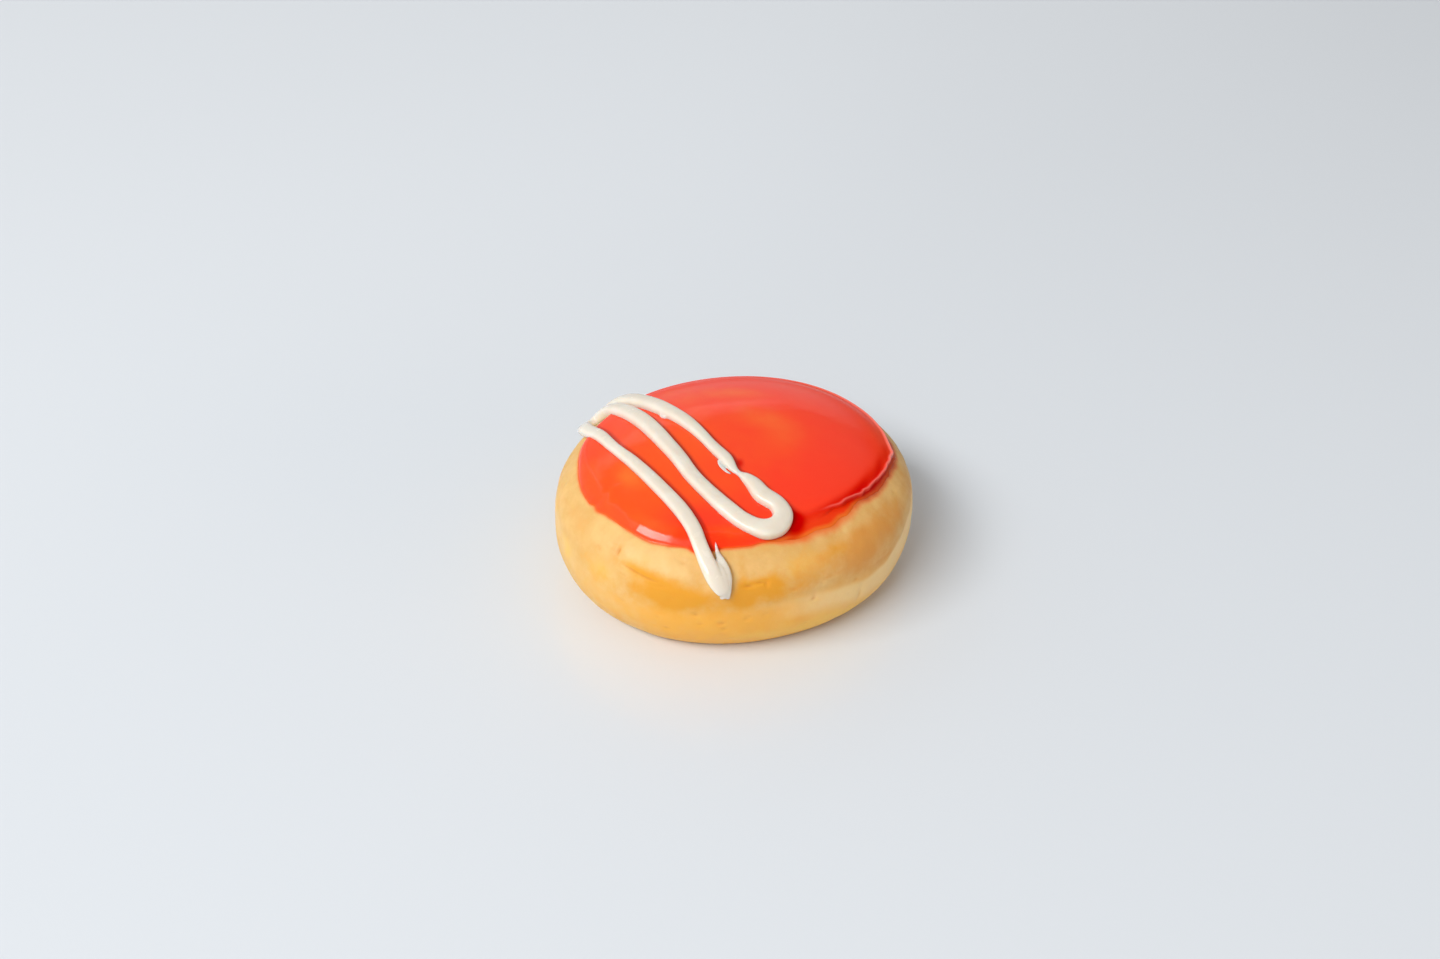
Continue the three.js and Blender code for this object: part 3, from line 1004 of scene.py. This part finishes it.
    def dress(self, cap: bpy.types.Object, angle: np.ndarray, reach: np.ndarray, outside: np.ndarray,
              inside: np.ndarray) -> None:
        """Gives the cap the amounts that its finish and its waves go by.

        Args:
            cap: The cap's plain skin.
            angle: The direction of each of its ring points, in radians.
            reach: Their reaches.
            outside: How far they lie inside the outer edge.
            inside: How far they lie inside the outer foot of the bead.
        """
        climbed = inside / self.bead_run.at(angle)
        thinness = (1 - ease(climbed, *self.film_climb)) * ease(outside - inside, 0, self.film_inset)
        lip = self.lip_thinness * (1 - ease(outside, 0, self.lip_width))
        off_crest = (inside - self.bead_run.at(angle)) / self.rim_highlight_spread.at(angle)
        on_crest = np.exp(-(off_crest**2))
        dullness = self.dull_rim.at(angle) * ease(reach, *self.dull_reach) * (1 - on_crest)
        gathering_and_shade, red, orange, lightness_and_sheen = (
            patched(patches, angle, reach, self.bun.mean_radius)
            for patches in (self.gathered_and_shaded_patches, self.red_areas, self.orange_areas, self.light_and_sheen_areas))
        redness = self.base_redness + red - orange
        carry(cap, "give", ease(outside, *self.wave_inset), 1, 1)
        carry(cap, "carving", np.zeros_like(reach))
        carry(cap, "thinness", np.maximum(thinness, lip))
        carry(cap, "ending", 1 - ease(outside, 0, self.ending_width))
        # The crest amount is a painted highlight along the bead's crest.
        carry(cap, "crest", self.rim_highlight_strength.at(angle) * on_crest)
        # The darker film at the right, partly painted shade.
        carry(cap, "darkness", self.dark_film_and_shade.at(angle))
        carry(cap, "dullness", dullness)
        # Gathered glaze, and painted shade beside the icing.
        carry(cap, "gathering_and_shade", gathering_and_shade)
        carry(cap, "redness", redness, redness[0].mean(), self.base_redness)
        carry(cap, "lightness_and_sheen", lightness_and_sheen, lightness_and_sheen[0].mean())


@dataclass
class Dough:
    """The fried bun: fine rings with the lumps, pits, creases and colour bands of its crust."""

    bun: BunForm
    relief: GeometryTree
    glaze: Glaze
    finish: Finish = FriedCrust()
    sectors: int = 560
    hidden_reach: float = 31 * MM
    hidden_step: float = 2.0 * MM
    ring_step: float = 0.36 * MM
    foot_rings: int = 6
    lumps: Relief = Relief(lump_size=16 * MM, lump_height=0.45 * MM, grain_size=3.6 * MM,
                           grain_height=0.13 * MM, seed=2.0)
    bare_beyond: Span = (0.2 * MM, 3.5 * MM)
    foot_fade: Span = (0.5 * MM, 4 * MM)
    pale_top: Around = Around((
        (-180, 47.0), (-160, 47.0), (-140, 50.0), (-128, 52.0), (-90, 51.0), (-72, 49.8),
        (-62, 49.8), (-50, 50.9), (-38, 52.3), (-30, 51.8), (-20, 49.2), (-10, 46.8), (0, 45.2),
        (10, 45.5), (40, 49.0), (60, 50.5), (120, 51.0),
    ))
    pale_strength: Around = Around((
        (-180, 0.4), (-160, 0.4), (-147, 0.2), (-120, 0.0), (-94, 0.0), (-80, 0.1), (-72, 0.35),
        (-60, 0.65), (-45, 0.8), (-25, 0.95), (10, 0.9), (60, 0.7), (100, 0.85), (140, 0.5),
    ), unit=1.0)
    pale_fall: Around = Around(((0, 0.5), (90, 0.75), (270, 0.75), (300, 0.7), (325, 0.5)), unit=1.0)
    pale_start: Span = (-1.7 * MM, 1.5 * MM)
    pale_end: Span = (3.5 * MM, 9 * MM)
    gilding_strength: Around = Around((
        (-180, 0.2), (-150, 0.25), (-125, 0.45), (-105, 0.9), (-65, 1.0), (-30, 0.7), (0, 0.5),
        (90, 0.7),
    ), unit=1.0)
    gilding_reach: Span = (46 * MM, 55 * MM)
    waist_depth: float = 0.2 * MM
    stain_width: Around = Around((
        (0, 2.4), (20, 1.6), (45, 0.8), (180, 0.8), (250, 0.9), (283, 1.2), (296, 2.8), (310, 3.6),
        (320, 3.7), (332, 2.6), (345, 2.5),
    ))
    stain_start: float = -0.4
    # Where the dark stain lies at the right: partly real stain, partly painted shade.
    dark_stain_and_shade_strength: Around = Around((
        (0, 0.9), (14, 0.7), (40, 0.2), (60, 0.0), (290, 0.0), (322, 0.1), (334, 0.7), (345, 0.9),
    ), unit=1.0)
    toasted: tuple[Patch, ...] = (
        Patch(-39, 43.5, 15.0, 6.0, 0.7), Patch(-41, 46.0, 6.5, 5.0, 0.45),
        Patch(-64, 44.5, 7.0, 4.5, 0.25), Patch(-31, 50.0, 5.0, 1.6, 0.4),
        Patch(100, 45.0, 20.0, 7.0, 0.5), Patch(50, 44.0, 16.0, 6.0, 0.3),
        Patch(-18, 41.0, 9.0, 3.5, 0.5), Patch(-38, 40.3, 6.0, 2.4, 0.6),
        Patch(0, 43.5, 6.0, 4.0, 0.45),
    )
    ambers: tuple[Patch, ...] = (
        Patch(-110, 48.6, 9.5, 4.2, 1.0), Patch(-119, 44.0, 5.5, 1.5, 0.65, 3),
        Patch(-80.5, 44.6, 5.4, 1.9, 0.95), Patch(-80, 48.0, 8.5, 3.4, 0.75),
        Patch(-99, 50.5, 10.0, 3.5, 0.2), Patch(-132, 50.5, 5.0, 3.5, 0.6),
        Patch(-86, 48.8, 3.0, 2.2, 0.5), Patch(-74, 47.5, 3.0, 2.4, 0.3),
        Patch(-60, 46.0, 6.0, 2.6, 0.45), Patch(-50, 40.5, 4.0, 2.0, 0.35),
        Patch(-112, 45.5, 7.0, 3.0, 0.3), Patch(-97, 47.0, 4.0, 2.0, 0.35),
        Patch(-122, 42.3, 4.0, 2.2, 0.4), Patch(-87, 43.0, 1.5, 5.0, 0.5),
        Patch(-74, 42.0, 5.0, 3.0, 0.4), Patch(-106, 48.5, 5.0, 2.6, 0.3),
        Patch(140, 48.0, 9.0, 3.0, 0.7), Patch(80, 49.0, 8.0, 2.5, 0.6),
        Patch(-47, 41.0, 5.0, 2.0, 0.4),
    )
    # Honey-gold patches; the wide one at reach 62 mm at the front is painted bounce light near the foot.
    honeyed_and_lit_patches: tuple[Patch, ...] = (
        Patch(-150, 51.0, 3.6, 3.4, 0.6), Patch(-132, 49.5, 5.0, 4.0, 0.6),
        Patch(-60, 62.0, 26.0, 5.0, 0.8), Patch(-168, 46.0, 4.0, 4.0, 0.3),
        Patch(120, 50.0, 9.0, 4.0, 0.5), Patch(-64, 42.0, 10.0, 3.5, 0.5),
        Patch(-117, 41.0, 7.0, 2.4, 0.35),
    )
    pits: tuple[Patch, ...] = (
        Patch(-100.6, 52.7, 0.9, 0.6, 1.0), Patch(-92.4, 55.2, 1.0, 0.7, 1.0),
        Patch(-84.3, 44.7, 1.3, 0.4, 1.5), Patch(-80.6, 44.1, 1.4, 0.45, 1.3),
        Patch(-78.4, 44.6, 0.5, 0.8, 1.0), Patch(-109.9, 58.4, 0.7, 0.5, 0.8),
        Patch(-99.1, 55.6, 0.6, 0.5, 0.7), Patch(-91.4, 57.1, 0.9, 0.7, 0.7),
        Patch(-68.6, 47.2, 0.8, 0.5, 0.6), Patch(-60.8, 50.9, 1.0, 1.2, 0.6),
        Patch(-40.5, 56.6, 1.0, 2.4, 0.9), Patch(-129, 41.2, 0.5, 1.6, 0.7),
        Patch(-128.5, 41.8, 0.5, 1.1, 0.9),
    )
    # The pits' depth, and the painted shade in them.
    pit_depth: float = 0.3 * MM
    pit_shade_browning: float = 0.6
    pit_darkness: float = 0.45
    stray_pits: int = 90
    stray_seed: int = 7
    stray_reach: Span = (38, 68)
    stray_size: Span = (0.45, 0.9)
    stray_narrowness: Span = (0.6, 1)
    stray_strength: Span = (0.2, 0.7)
    creases: tuple[Patch, ...] = (
        Patch(-122, 44.2, 3.4, 0.45, 1.0, 6), Patch(-116, 45.0, 3.2, 0.4, 0.9, 4),
        Patch(-112, 46.0, 2.6, 0.4, 0.6, -5), Patch(-124, 46.3, 2.4, 0.4, 0.5, 12),
        Patch(-55, 46.5, 4.0, 0.5, 0.5, -6), Patch(-30, 49.5, 5.0, 0.5, 0.4, 4),
        Patch(60, 45.5, 6.0, 0.5, 0.7, 5), Patch(150, 46.0, 5.0, 0.5, 0.7, -6),
    )
    # The creases' depth, and the painted shade in them.
    crease_depth: float = 0.16 * MM
    crease_shade_browning: float = 0.5
    crease_darkness: float = 0.65

    def stray(self) -> tuple[Patch, ...]:
        """Small pits in chance places all over the crust, the same ones each time."""
        chance = np.random.default_rng(self.stray_seed)
        return tuple(
            Patch(chance.uniform(-180, 180), chance.uniform(*self.stray_reach), size,
                  size * chance.uniform(*self.stray_narrowness), chance.uniform(*self.stray_strength))
            for size in chance.uniform(*self.stray_size, self.stray_pits))

    def build(self) -> bpy.types.Object:
        """Builds the bun and dresses it."""
        bun = self.bun
        hidden = np.arange(self.hidden_step, self.hidden_reach, self.hidden_step)
        count = int(round((bun.foot_reach - self.hidden_reach) / self.ring_step))
        reaches = np.concatenate([hidden, np.linspace(self.hidden_reach, bun.foot_reach, count)])
        around = np.linspace(0, 2 * math.pi, self.sectors, endpoint=False)
        angle, reach = np.meshgrid(around, reaches)
        rings = bun.surface(reach * np.cos(angle), reach * np.sin(angle))
        rings[-1, :, 2] = 0
        inward = np.linspace(1, 0, self.foot_rings, endpoint=False)[1:]
        foot = rings[-1] * inward[:, None, None]
        top = bun.surface(np.zeros(1), np.zeros(1))[0]
        body = ring_skin(Piece.DOUGH.title, top, np.concatenate([rings, foot]), np.zeros(3))
        under_foot = np.zeros(foot.shape[:2])
        for name, values in self.amounts(angle, reach).items():
            carry(body, name, np.concatenate([values, under_foot]))
        self.lumps.grow(self.relief, body, self.finish)
        return body

    def amounts(self, angle: np.ndarray, reach: np.ndarray) -> dict[str, np.ndarray]:
        """The amounts that the crust's finish and its relief go by.

        Args:
            angle: The direction of each of the crust's ring points, in radians.
            reach: Their reaches.
        Returns:
            The amount at each point, by its name.
        """
        beyond = reach - self.glaze.edge.at(angle)
        bare = ease(beyond, *self.bare_beyond)
        above_foot = ease(self.bun.foot_reach - reach, *self.foot_fade)
        below_top = reach - self.pale_top.at(angle)
        paleness = self.pale_strength.at(angle) * ease(below_top, *self.pale_start)
        paleness *= 1 - self.pale_fall.at(angle) * ease(below_top, *self.pale_end)
        marks = (self.pits + self.stray(), self.creases, self.toasted, self.ambers, self.honeyed_and_lit_patches)
        pits, creases, toasting_and_pit_shade, ambering, honeying_and_bounce_light = (
            patched(patches, angle, reach, self.bun.mean_radius) for patches in marks)
        carving = -(self.pit_depth * pits + self.crease_depth * creases) * bare
        carving -= self.waist_depth * paleness * np.minimum(bare, above_foot)
        staining = 1 - ease(beyond / self.stain_width.at(angle), self.stain_start, 1)
        return {
            "give": np.minimum(bare, above_foot),
            "carving": carving * above_foot,
            "gilding": self.gilding_strength.at(angle) * ease(reach, *self.gilding_reach),
            "paleness": paleness,
            # Toasted patches, and painted shade in the pits and creases.
            "toasting_and_pit_shade": toasting_and_pit_shade + self.pit_shade_browning * pits + self.crease_shade_browning * creases,
            "ambering": ambering,
            # Painted shade in the pits and creases.
            "pit_and_crease_shade": self.pit_darkness * pits + self.crease_darkness * creases,
            "honeying_and_bounce_light": honeying_and_bounce_light,
            "staining": staining,
            "dark_stain_and_shade": staining * self.dark_stain_and_shade_strength.at(angle),
        }


@dataclass
class Icing:
    """The piped icing: a zigzag line, the trail beside its end and small smears, melted into one skin.

    A route's stops are its places on the bun's map and its width there, in millimetres.
    """

    bun: BunForm
    glaze: Glaze
    finish: Finish = CreamIcing()
    line: tuple[Triple, ...] = (
        (-36.0, 25.6, 4.6), (-32.6, 24.4, 5.0), (-29.4, 22.2, 4.8), (-25.4, 18.6, 4.6),
        (-20.4, 14.0, 4.5), (-13.8, 7.5, 3.8), (-7.1, -1.0, 3.0), (-3.0, -7.0, 3.2),
        (-2.0, -9.2, 2.9), (-0.7, -11.7, 1.9), (0.4, -13.0, 1.5), (2.0, -14.6, 2.7),
        (4.1, -17.3, 3.9), (6.4, -20.9, 4.6), (10.0, -23.6, 4.5), (11.5, -26.6, 4.8),
        (10.5, -29.5, 5.0), (7.9, -30.9, 4.9), (5.0, -30.6, 4.55), (1.5, -28.7, 4.4), (-2.3, -24.9, 4.3),
        (-6.1, -19.9, 4.0), (-9.8, -14.0, 3.9), (-13.0, -7.8, 4.0), (-17.5, -1.2, 4.3),
        (-23.0, 6.6, 4.5), (-27.1, 11.9, 4.4), (-31.0, 16.4, 4.2), (-34.9, 20.6, 4.0),
        (-37.8, 21.9, 3.8), (-40.0, 20.0, 3.6), (-40.3, 16.2, 3.6), (-38.6, 11.6, 3.5),
        (-36.2, 7.4, 3.4), (-33.4, 4.0, 3.3), (-28.7, -2.6, 3.0), (-23.0, -9.2, 3.35),
        (-18.6, -14.8, 3.6), (-15.0, -20.0, 3.7), (-11.8, -25.3, 3.85), (-9.2, -30.6, 3.7),
        (-7.5, -35.4, 3.6), (-5.9, -39.2, 3.9), (-4.3, -42.2, 4.1), (-2.9, -44.4, 3.5),
        (-2.1, -46.0, 2.1), (-2.7, -47.4, 0.8),
    )
    trail: tuple[Triple, ...] = (
        (-0.7, -47.6, 0.7), (-1.1, -46.2, 1.7), (-1.3, -44.4, 2.3), (-1.4, -42.6, 2.5),
        (-1.9, -40.8, 2.4), (-2.8, -38.8, 2.0), (-3.6, -37.0, 1.3), (-4.1, -35.4, 0.8),
        (-4.4, -33.9, 0.4),
    )
    smears: tuple[tuple[Triple, ...], ...] = (
        ((-4.4, -7.4, 0.9), (-4.2, -9.0, 0.9), (-3.4, -10.8, 0.9), (-2.3, -12.3, 0.8),
         (-1.2, -13.1, 0.5)),
        ((-20.0, 11.2, 1.2), (-19.0, 9.9, 1.5), (-18.0, 9.1, 1.1)),
        ((-4.3, -38.4, 1.2), (-3.6, -40.2, 2.6), (-2.8, -42.4, 3.2), (-2.1, -44.8, 2.8),
         (-1.8, -46.4, 1.6)),
    )
    step: float = 0.4 * MM
    curve_points: int = 40
    least_width: float = 0.1 * MM
    step_down: Span = (-1.0 * MM, 1.5 * MM)
    bare_lift: float = 0.35
    settling: float = 0.05
    sides: int = 40
    squareness: float = 0.64
    section_height: float = 0.76
    grain: float = 0.2 * MM
    skin_grains: float = 3.0
    surface_level: float = 0.08
    melting: int = 3
    ripple_size: float = 6 * MM
    ripple_height: float = 0.16 * MM
    seed: float = 5.0

    def curve(self, stops: tuple[Triple, ...]) -> np.ndarray:
        """A smooth curve through a route's stops.

        Args:
            stops: The route's stops.
        Returns:
            Evenly spaced points on the curve, as map places and widths in metres.
        """
        places = np.array(stops) * MM
        places = np.vstack([2 * places[0] - places[1], places, 2 * places[-1] - places[-2]])
        gaps = np.sqrt(np.linalg.norm(np.diff(places, axis=0), axis=1))
        share = np.linspace(0, 1, self.curve_points, endpoint=False)[:, None]
        pieces = []
        for i in range(1, len(places) - 2):
            before, start, end, after = places[i - 1:i + 3]
            gap_before, gap, gap_after = gaps[i - 1:i + 2]
            leave = (start - before) / gap_before - (end - before) / (gap_before + gap)
            leave = (leave + (end - start) / gap) * gap
            arrive = (end - start) / gap - (after - start) / (gap + gap_after)
            arrive = (arrive + (after - end) / gap_after) * gap
            square = -3 * start + 3 * end - 2 * leave - arrive
            cube = 2 * start - 2 * end + leave + arrive
            pieces.append(start + leave * share + square * share**2 + cube * share**3)
        dense = np.vstack([*pieces, places[-2][None]])
        lengths = np.concatenate([[0], np.cumsum(np.linalg.norm(np.diff(dense, axis=0), axis=1))])
        even = np.linspace(0, lengths[-1], int(lengths[-1] / self.step) + 1)
        return np.stack([np.interp(even, lengths, column) for column in dense.T], axis=-1)

    def strand(self, stops: tuple[Triple, ...]) -> tuple[np.ndarray, np.ndarray, np.ndarray]:
        """A strand as piped, with both of its ends rounded off.

        Args:
            stops: Its route's stops.
        Returns:
            The points of its centre line, its width at each and the level way across it there.
        """
        route = self.curve(stops)
        map_x, map_y, width = route.T
        order = np.arange(len(route))
        from_end = np.minimum(order, order[::-1]) * self.step
        inset = np.clip(1 - from_end / (width / 2), 0, 1)
        width = np.maximum(width * np.sqrt(1 - inset**2), self.least_width)
        beyond = np.hypot(map_x, map_y) - self.glaze.edge.at(np.arctan2(map_y, map_x))
        glaze_lift = self.glaze.thickness * (1 - ease(beyond, *self.step_down))
        bare_lift = np.minimum(self.glaze.thickness, self.bare_lift * width)
        lift = np.maximum(glaze_lift, bare_lift) + self.settling * width
        centre = self.bun.lifted(map_x, map_y, lift)
        across = np.cross(self.bun.normal(map_x, map_y), np.gradient(centre, axis=0))
        return centre, width, across / np.linalg.norm(across, axis=-1, keepdims=True)

    def piped(self) -> np.ndarray:
        """Points of the line and its trail: their map places and their width there."""
        return np.concatenate([self.curve(stops) for stops in (self.line, self.trail)])

    def build(self) -> bpy.types.Object:
        """Builds the icing and dresses it."""
        strands = [self.strand(stops) for stops in (self.line, self.trail, *self.smears)]
        points, widths, sideways = (np.concatenate(parts) for parts in zip(*strands))
        edges, first = [], 0
        for centre, _, _ in strands:
            last = first + len(centre)
            edges += zip(range(first, last - 1), range(first + 1, last))
            first = last
        mesh = bpy.data.meshes.new(Piece.ICING.title)
        mesh.from_pydata(points.tolist(), edges, [])
        icing = shown(Piece.ICING.title, mesh)
        set_attribute(icing, "width", widths)
        across = mesh.attributes.new("sideways", "FLOAT_VECTOR", "POINT")
        across.data.foreach_set("vector", sideways.astype(np.float32).ravel())
        strand_tree().grow(icing, {
            "Sides": self.sides, "Squareness": self.squareness, "Height": self.section_height,
            "Grain": self.grain, "Skin Grains": self.skin_grains,
            "Surface Level": self.surface_level, "Melting": self.melting,
            "Ripple Size": self.ripple_size, "Ripple Height": self.ripple_height,
            "Seed": self.seed, "Material": self.finish.material()})
        return icing


# ---------------------------------------------------------------- the studio


@dataclass(frozen=True)
class Softbox:
    """A rectangular light that looks at the doughnut; a mirrored one shows in glossy surfaces."""

    name: str
    azimuth: float
    elevation: float
    distance: float
    width: float
    height: float
    power: float
    colour: Triple = (1.0, 1.0, 1.0)
    mirrored: bool = True

    def place(self, target: Vector) -> None:
        """Hangs the light and turns it to the target."""
        light = bpy.data.lights.new(self.name, "AREA")
        light.shape = "RECTANGLE"
        light.size, light.size_y = self.width, self.height
        light.energy = self.power
        light.color = self.colour
        around, up = math.radians(self.azimuth), math.radians(self.elevation)
        away = Vector((math.cos(around) * math.cos(up), math.sin(around) * math.cos(up), math.sin(up)))
        lamp = bpy.data.objects.new(self.name, light)
        bpy.context.scene.collection.objects.link(lamp)
        lamp.visible_glossy = self.mirrored
        lamp.location = target + away * self.distance
        lamp.rotation_euler = away.to_track_quat("Z", "Y").to_euler()


@dataclass
class Studio:
    """A pale floor, soft light and the camera."""

    camera_place: Triple = (-3.99 * MM, -391.8 * MM, 308.5 * MM)
    pitch: float = 36.16
    roll: float = 3.17
    lens: float = 50.0
    sensor: float = 36.0
    nearest: float = 0.01
    aim_height: float = 20 * MM
    floor_half: float = 6.0
    white: Colour = (1.0, 1.0, 1.0, 1.0)
    sky: float = 0.375
    horizon: float = 0.68
    horizon_band: Span = (0.42, 0.48)
    horizon_tilt: float = 0.3
    dim_band: Span = (0.4, 0.6)
    dim_side: Span = (0.1, 0.45)
    dim_back: Span = (0.0, 0.4)
    dim: float = 0.35
    streak: float = 0.5
    streak_band: tuple[float, float, float, float] = (0.39, 0.43, 0.47, 0.51)
    streak_end: Span = (-0.02, 0.12)
    softboxes: tuple[Softbox, ...] = (
        Softbox("key_softbox", azimuth=226.0, elevation=44.5, distance=2.4, width=2.0, height=0.7,
                power=49.5),
        Softbox("warm_fill_softbox", azimuth=-22.0, elevation=14.0, distance=2.4, width=1.2,
                height=0.6, power=4.5, colour=(1.0, 0.6, 0.3), mirrored=False),
    )

    def build(self) -> None:
        """Builds the floor, the lights and the camera."""
        half = self.floor_half
        mesh = bpy.data.meshes.new("studio_floor")
        corners = [(-half, -half, 0), (half, -half, 0), (half, half, 0), (-half, half, 0)]
        mesh.from_pydata(corners, [], [(0, 1, 2, 3)])
        floor = shown("studio_floor", mesh)
        floor.data.materials.append(PaleFloor().material())
        for softbox in self.softboxes:
            softbox.place(Vector((0, 0, self.aim_height)))
        scene = bpy.context.scene
        scene.world = self.surround()
        scene.view_settings.view_transform = "Standard"
        scene.camera = self.camera()
        LOG.info("studio: %d softboxes", len(self.softboxes))

    def surround(self) -> bpy.types.World:
        """Makes the light from all round: brightest near the horizon, with a streak, dim back right."""
        world = bpy.data.worlds.new("studio_surround")
        world.use_nodes = True
        world.node_tree.nodes.clear()
        writer = NodeWriter(world.node_tree)
        way = writer.add("ShaderNodeTexCoord", output="Generated")
        rightness, backness, height = (
            writer.add("ShaderNodeSeparateXYZ", inputs={0: way}, output=axis) for axis in "XYZ")
        height = height + rightness * self.horizon_tilt
        level = writer.fade(height, *self.horizon_band, self.horizon, self.sky)
        dim = writer.fade(rightness, *self.dim_side) * writer.fade(backness, *self.dim_back)
        dim = dim * writer.fade(height, *self.dim_band, 1.0, 0.0)
        level = level * (1 - dim * (1 - self.dim))
        low, bright, still_bright, high = self.streak_band
        streak = writer.fade(height, low, bright) * writer.fade(height, still_bright, high, 1.0, 0.0)
        level = level + streak * writer.fade(rightness, *self.streak_end, self.streak, 0.0)
        light = writer.add("ShaderNodeBackground", inputs={"Color": self.white, "Strength": level})
        writer.add("ShaderNodeOutputWorld", inputs={"Surface": light})
        return world

    def camera(self) -> bpy.types.Object:
        """Makes the camera, which looks down at the doughnut from its front."""
        lens = bpy.data.cameras.new("studio_camera")
        lens.lens = self.lens
        lens.sensor_width = self.sensor
        lens.clip_start = self.nearest
        camera = bpy.data.objects.new("studio_camera", lens)
        bpy.context.scene.collection.objects.link(camera)
        turn = Matrix.Rotation(math.radians(90 - self.pitch), 4, "X")
        camera.matrix_world = (
            Matrix.Translation(self.camera_place) @ turn
            @ Matrix.Rotation(math.radians(self.roll), 4, "Z"))
        return camera


def main() -> None:
    """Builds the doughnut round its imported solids, and the studio."""
    logging.basicConfig(level=logging.INFO, format="%(name)s: %(message)s")
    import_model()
    Studio().build()
    bun = BunForm()
    relief = relief_tree()
    glaze = Glaze(bun, relief)
    dough = Dough(bun, relief, glaze)
    Piece.DOUGH.join(dough.build())
    icing = Icing(bun, glaze)
    Piece.GLAZE.join(glaze.build(icing.piped()))
    Piece.ICING.join(icing.build())


if __name__ == "__main__":
    main()
